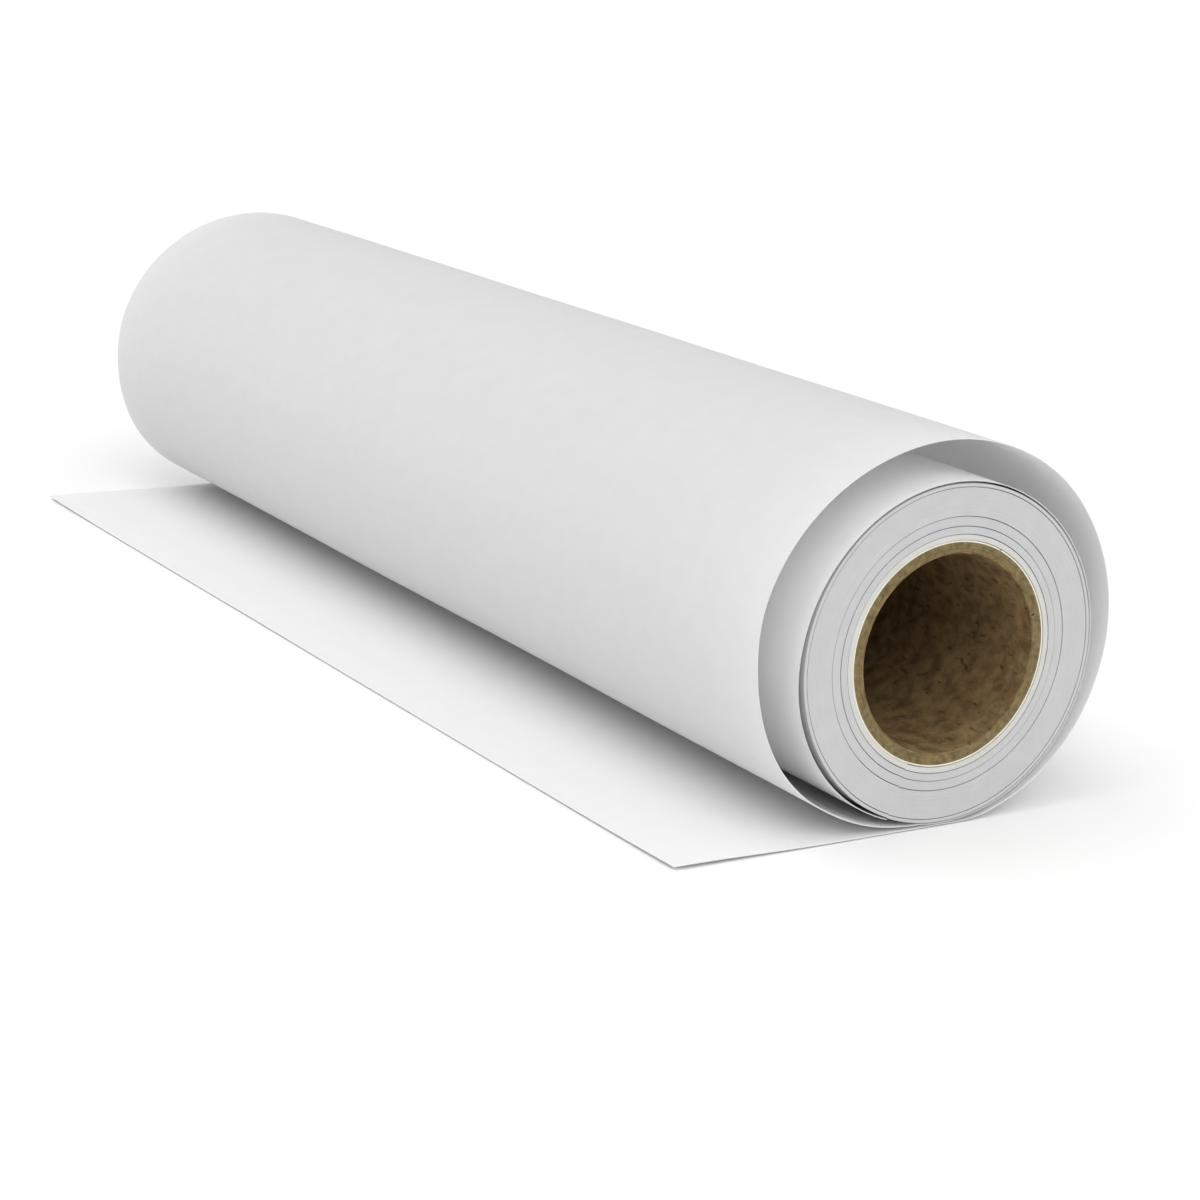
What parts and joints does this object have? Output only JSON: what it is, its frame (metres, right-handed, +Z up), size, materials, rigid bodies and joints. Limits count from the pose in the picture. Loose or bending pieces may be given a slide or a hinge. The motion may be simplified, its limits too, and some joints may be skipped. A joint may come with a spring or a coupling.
{
  "type": "backdrop paper roll",
  "caption": "Roll of plain white paper on a paperboard core with an open bore, its outer turn loose and its free end lying flat.",
  "frame": {"origin": "on the floor in the middle of the roll's length, straight below the roll's axis", "axes": "+X along the roll towards the end where the outer turn stands widest open, -Y towards the free end of the paper, +Z up"},
  "size_m": [0.61, 0.1894, 0.1472],
  "materials": {
    "core_liner_paper": "matt brown kraft paper, spiral seams, loose fibres",
    "core_board": "cut grey-brown paperboard, layered",
    "core_wrap_paper": "matt pale kraft paper",
    "start_tape_film": "clear adhesive film",
    "first_turn_paper": "matt cream-white cut edges",
    "wound_paper": "matt white cut edges in fine rings",
    "loose_paper": "matt white, smooth"
  },
  "bodies": {
    "loose_sheet": {"outer_turn": "loose_paper", "second_turn": "loose_paper", "tail_root": "loose_paper"},
    "tail": {"tail_end": "loose_paper"},
    "wound_roll": {"main_winding": "wound_paper", "last_turns": "wound_paper"},
    "middle_turns": {"middle_turns": "wound_paper"},
    "inner_turns": {"inner_turns": "wound_paper"},
    "core": {"core_liner": "core_liner_paper", "core_ply_1": "core_board", "core_ply_2": "core_board", "core_ply_3": "core_board", "core_wrap": "core_wrap_paper", "start_tape": "start_tape_film", "first_turns": "first_turn_paper"}
  },
  "joints": [
    {"name": "roll_spin", "type": "hinge", "parent": "loose_sheet", "child": "wound_roll", "pos_m": [0, 0, 0.0659], "axis": [1, 0, 0], "continuous": true},
    {"name": "tail_lift", "type": "hinge", "parent": "loose_sheet", "child": "tail", "pos_m": [0, -0.06, 0.0002], "axis": [-1, 0, 0], "range_deg": [0, 60]},
    {"name": "middle_turns_slip", "type": "slide", "parent": "wound_roll", "child": "middle_turns", "axis": [1, 0, 0], "range_m": [-0.004, 0.008]},
    {"name": "inner_turns_slip", "type": "slide", "parent": "middle_turns", "child": "inner_turns", "axis": [1, 0, 0], "range_m": [-0.004, 0.008]},
    {"name": "core_slip", "type": "slide", "parent": "inner_turns", "child": "core", "axis": [1, 0, 0], "range_m": [-0.004, 0.008]}
  ],
  "couplings": [
    {"joint": "inner_turns_slip", "follows": "middle_turns_slip", "ratio": 1},
    {"joint": "core_slip", "follows": "middle_turns_slip", "ratio": 1}
  ]
}
